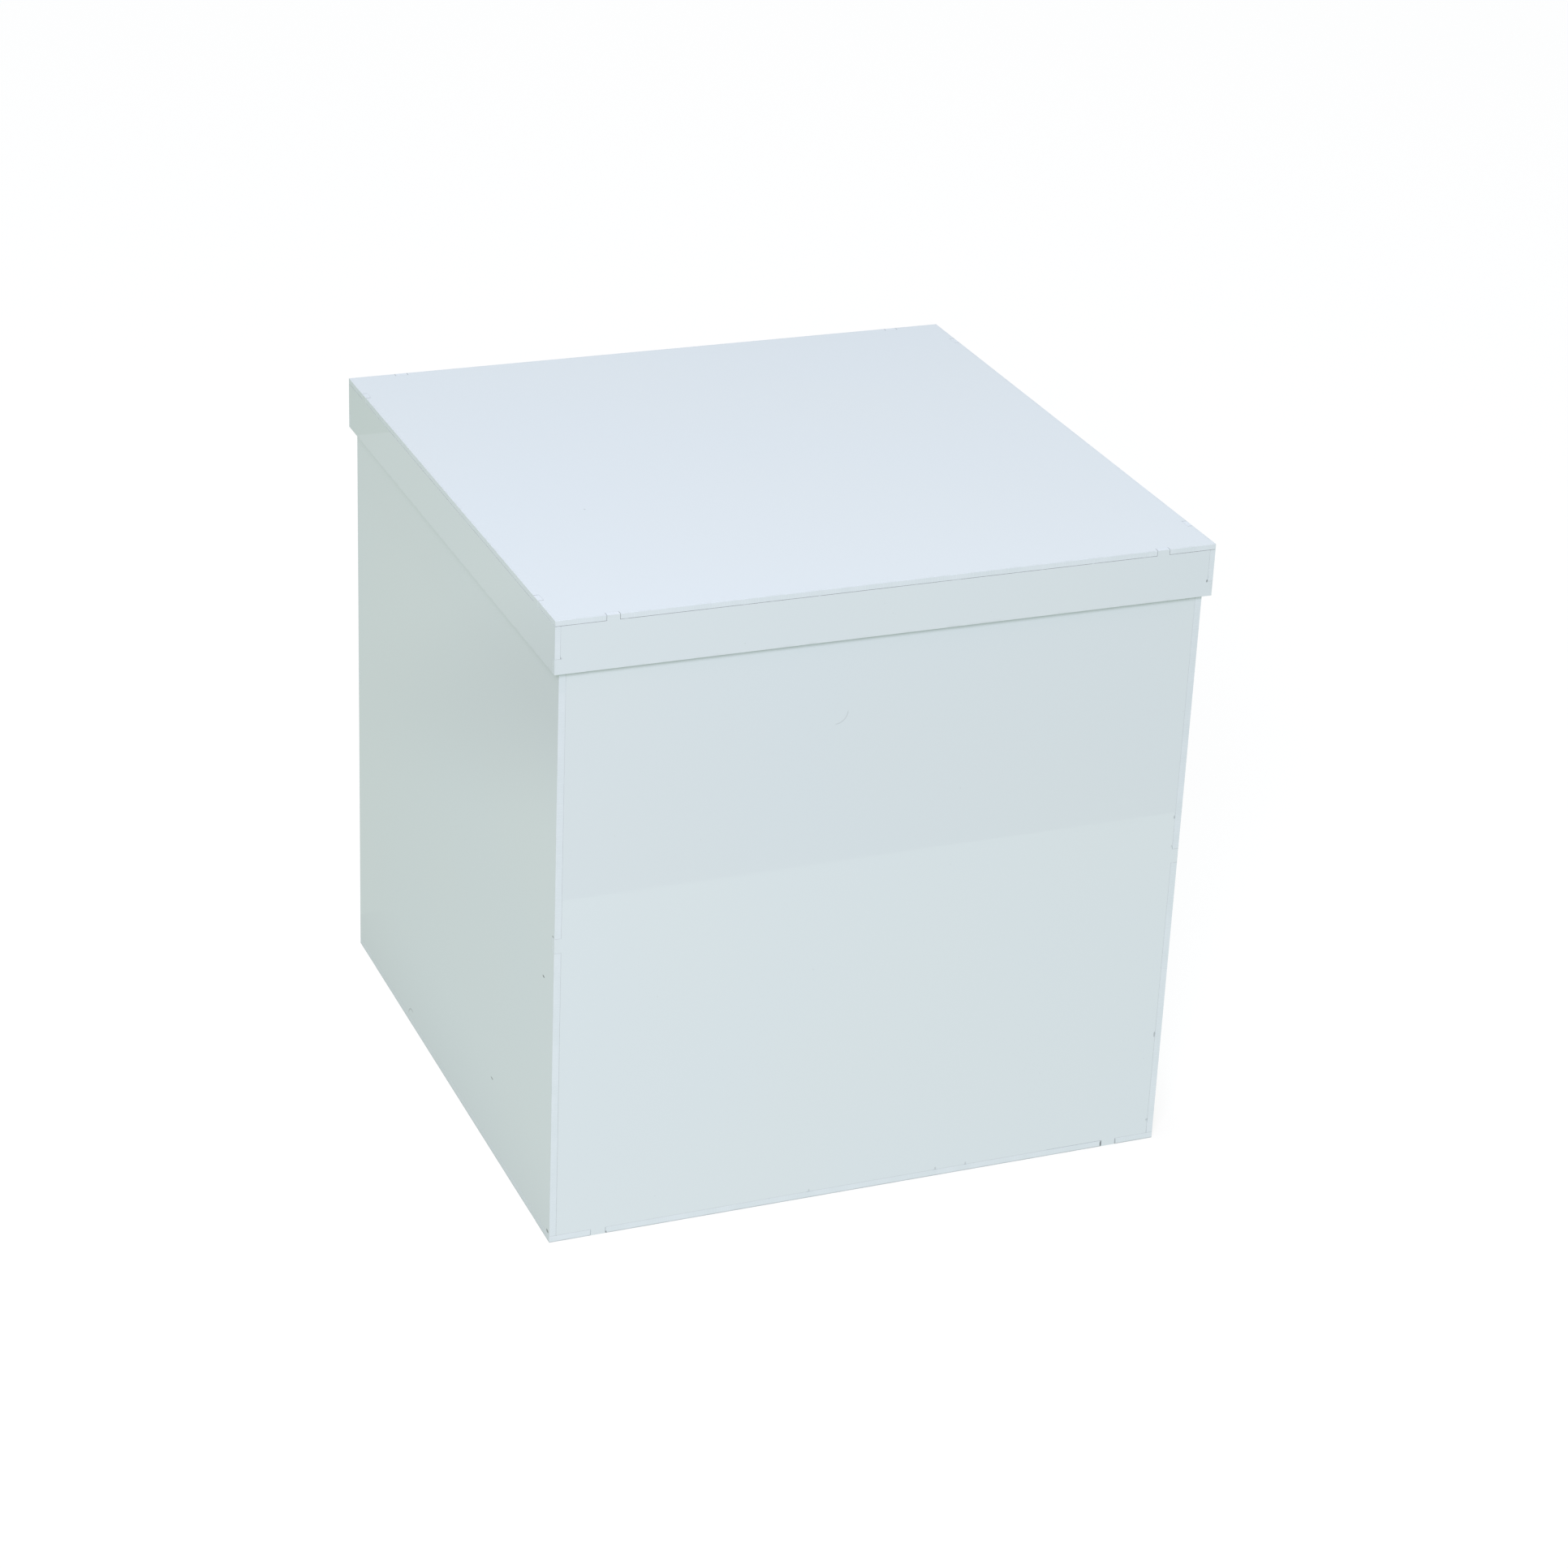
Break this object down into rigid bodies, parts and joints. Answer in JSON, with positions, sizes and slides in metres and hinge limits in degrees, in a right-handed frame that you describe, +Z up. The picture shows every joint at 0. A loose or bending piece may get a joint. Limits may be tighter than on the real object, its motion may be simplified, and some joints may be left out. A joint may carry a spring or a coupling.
{
  "type": "display plinth",
  "caption": "Square white acrylic display plinth: an open-topped case with tabbed, glued corners, closed by a shallow lift-off lid whose flat top carries the exhibit.",
  "frame": {"origin": "centre of the square footprint, on the surface that the plinth stands on", "axes": "+Z up through the centre of the lid, -Y towards the front, +X to the right seen from the front"},
  "size_m": [0.5, 0.5, 0.495],
  "materials": {
    "case_acrylic": "gloss",
    "lid_acrylic": "gloss"
  },
  "bodies": {
    "case": {"case_base": "case_acrylic", "case_wall_front": "case_acrylic", "case_wall_right": "case_acrylic", "case_wall_back": "case_acrylic", "case_wall_left": "case_acrylic"},
    "lid": {"lid_top": "lid_acrylic", "lid_skirt_front": "lid_acrylic", "lid_skirt_right": "lid_acrylic", "lid_skirt_back": "lid_acrylic", "lid_skirt_left": "lid_acrylic"}
  },
  "joints": [
    {"name": "lid_lift", "type": "slide", "parent": "case", "child": "lid", "axis": [0, 0, 1], "range_m": [0, 0.3]}
  ]
}
